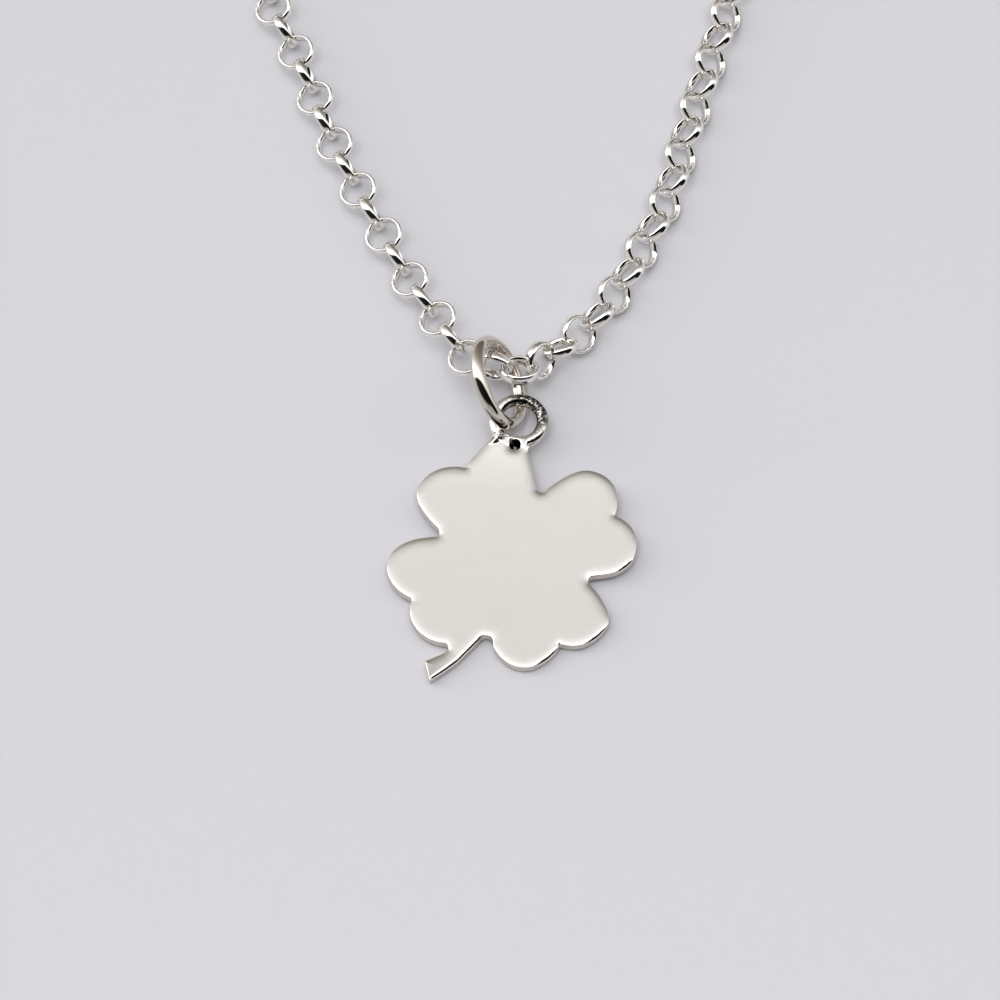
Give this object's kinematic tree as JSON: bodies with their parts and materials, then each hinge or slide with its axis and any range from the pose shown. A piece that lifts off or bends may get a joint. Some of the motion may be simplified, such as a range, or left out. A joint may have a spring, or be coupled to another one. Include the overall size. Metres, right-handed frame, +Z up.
{
  "type": "four leaf clover pendant necklace",
  "caption": "Flat polished clover charm with a stem, hung by a round loop and a jump ring on a necklace of round links.",
  "frame": {"origin": "on the surface the necklace lies on, under the middle of its bounding box", "axes": "+Z up from the surface, +Y from the pendant towards the clasp at the far end, +X to the right as worn seen from the front"},
  "size_m": [0.0981, 0.2186, 0.0067],
  "materials": {
    "charm_silver": "mirror polished sterling silver with softly rolled edges",
    "ring_silver": "polished sterling silver wire with faint bending marks",
    "chain_silver": "tumble polished sterling silver links"
  },
  "bodies": {
    "root": {"clover": "charm_silver", "jump_ring": "ring_silver", "chain_left": "chain_silver", "chain_right": "chain_silver", "clasp": "ring_silver"}
  },
  "joints": []
}
